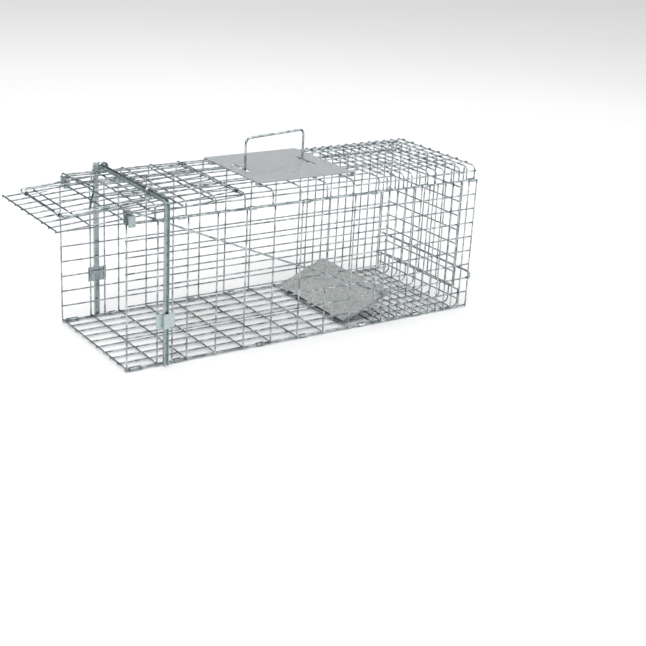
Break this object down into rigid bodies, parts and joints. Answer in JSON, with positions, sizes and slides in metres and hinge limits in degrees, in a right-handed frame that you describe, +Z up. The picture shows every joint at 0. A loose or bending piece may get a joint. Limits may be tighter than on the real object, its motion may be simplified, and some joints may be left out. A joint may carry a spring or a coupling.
{
  "type": "live catch trap",
  "caption": "Collapsible welded-wire live catch trap, set: drop door held open at the front, tilting trigger pan inside and a folding carry handle on top.",
  "frame": {"origin": "on the ground, under the middle of the cage's floor", "axes": "+X along the cage from the entrance to the rear, +Y across it away from the trigger rod, +Z up"},
  "size_m": [0.7637, 0.2626, 0.3117],
  "materials": {
    "mesh_wire": "galvanised, satin",
    "zinc_wire": "galvanised, satin",
    "ring_steel": "zinc plated, bright",
    "spring_wire": "zinc plated, bright",
    "frame_steel": "galvanised, satin",
    "zinc_sheet": "galvanised sheet with a fine spangle",
    "pan_sheet": "galvanised sheet with a mottled spangle"
  },
  "bodies": {
    "cage": {"floor_mesh": "mesh_wire", "near_side_mesh": "mesh_wire", "far_side_mesh": "mesh_wire", "roof_mesh": "mesh_wire", "near_floor_rings": "ring_steel", "far_floor_rings": "ring_steel", "near_corner_link": "ring_steel", "far_corner_link": "ring_steel", "near_eave_rings": "ring_steel", "far_eave_rings": "ring_steel", "rear_hinge_rings": "ring_steel", "door_hinge_rings": "ring_steel", "front_frame": "frame_steel", "near_post_clip": "zinc_sheet", "far_post_clip": "zinc_sheet", "near_front_bracket": "zinc_sheet", "far_front_bracket": "zinc_sheet", "roof_plate": "zinc_sheet", "rod_guide_eye": "zinc_wire"},
    "rear_panel": {"rear_mesh": "mesh_wire"},
    "rear_lock": {"rear_lock_rod": "zinc_wire"},
    "handle": {"carry_handle": "zinc_wire"},
    "door": {"door_mesh": "mesh_wire", "door_catch_ear": "zinc_sheet"},
    "bail": {"lock_bail": "zinc_wire", "near_bail_spring": "spring_wire", "far_bail_spring": "spring_wire", "bail_brace": "zinc_wire"},
    "pan": {"trigger_pan": "pan_sheet"},
    "rod": {"trigger_rod": "zinc_wire"}
  },
  "joints": [
    {"name": "door_swing", "type": "hinge", "parent": "cage", "child": "door", "pos_m": [-0.127, 0, 0.2512], "axis": [0, -1, 0], "range_deg": [0, 48.4]},
    {"name": "bail_swing", "type": "hinge", "parent": "cage", "child": "bail", "pos_m": [-0.2667, 0, 0.2607], "axis": [0, -1, 0], "range_deg": [0, 94.8]},
    {"name": "pan_tilt", "type": "hinge", "parent": "cage", "child": "pan", "pos_m": [0.0762, 0, 0.005], "axis": [0, 1, 0], "range_deg": [0, 17]},
    {"name": "rod_pivot", "type": "hinge", "parent": "pan", "child": "rod", "pos_m": [0.1585, -0.1068, 0.04688], "axis": [0, 1, 0], "range_deg": [-14.82, 0]},
    {"name": "handle_fold", "type": "hinge", "parent": "cage", "child": "handle", "pos_m": [0.003, 0.014, 0.2558], "axis": [-0.9823, -0.1874, 0], "range_deg": [0, 60]},
    {"name": "rear_lock_slide", "type": "slide", "parent": "cage", "child": "rear_lock", "axis": [0, -1, 0], "range_m": [0, 0.2]},
    {"name": "rear_fold", "type": "hinge", "parent": "cage", "child": "rear_panel", "pos_m": [0.3129, 0, 0.0372], "axis": [0, -1, 0], "range_deg": [0, 70]}
  ],
  "couplings": [
    {"joint": "bail_swing", "follows": "door_swing", "ratio": 1.955},
    {"joint": "rod_pivot", "follows": "pan_tilt", "ratio": -0.86}
  ]
}
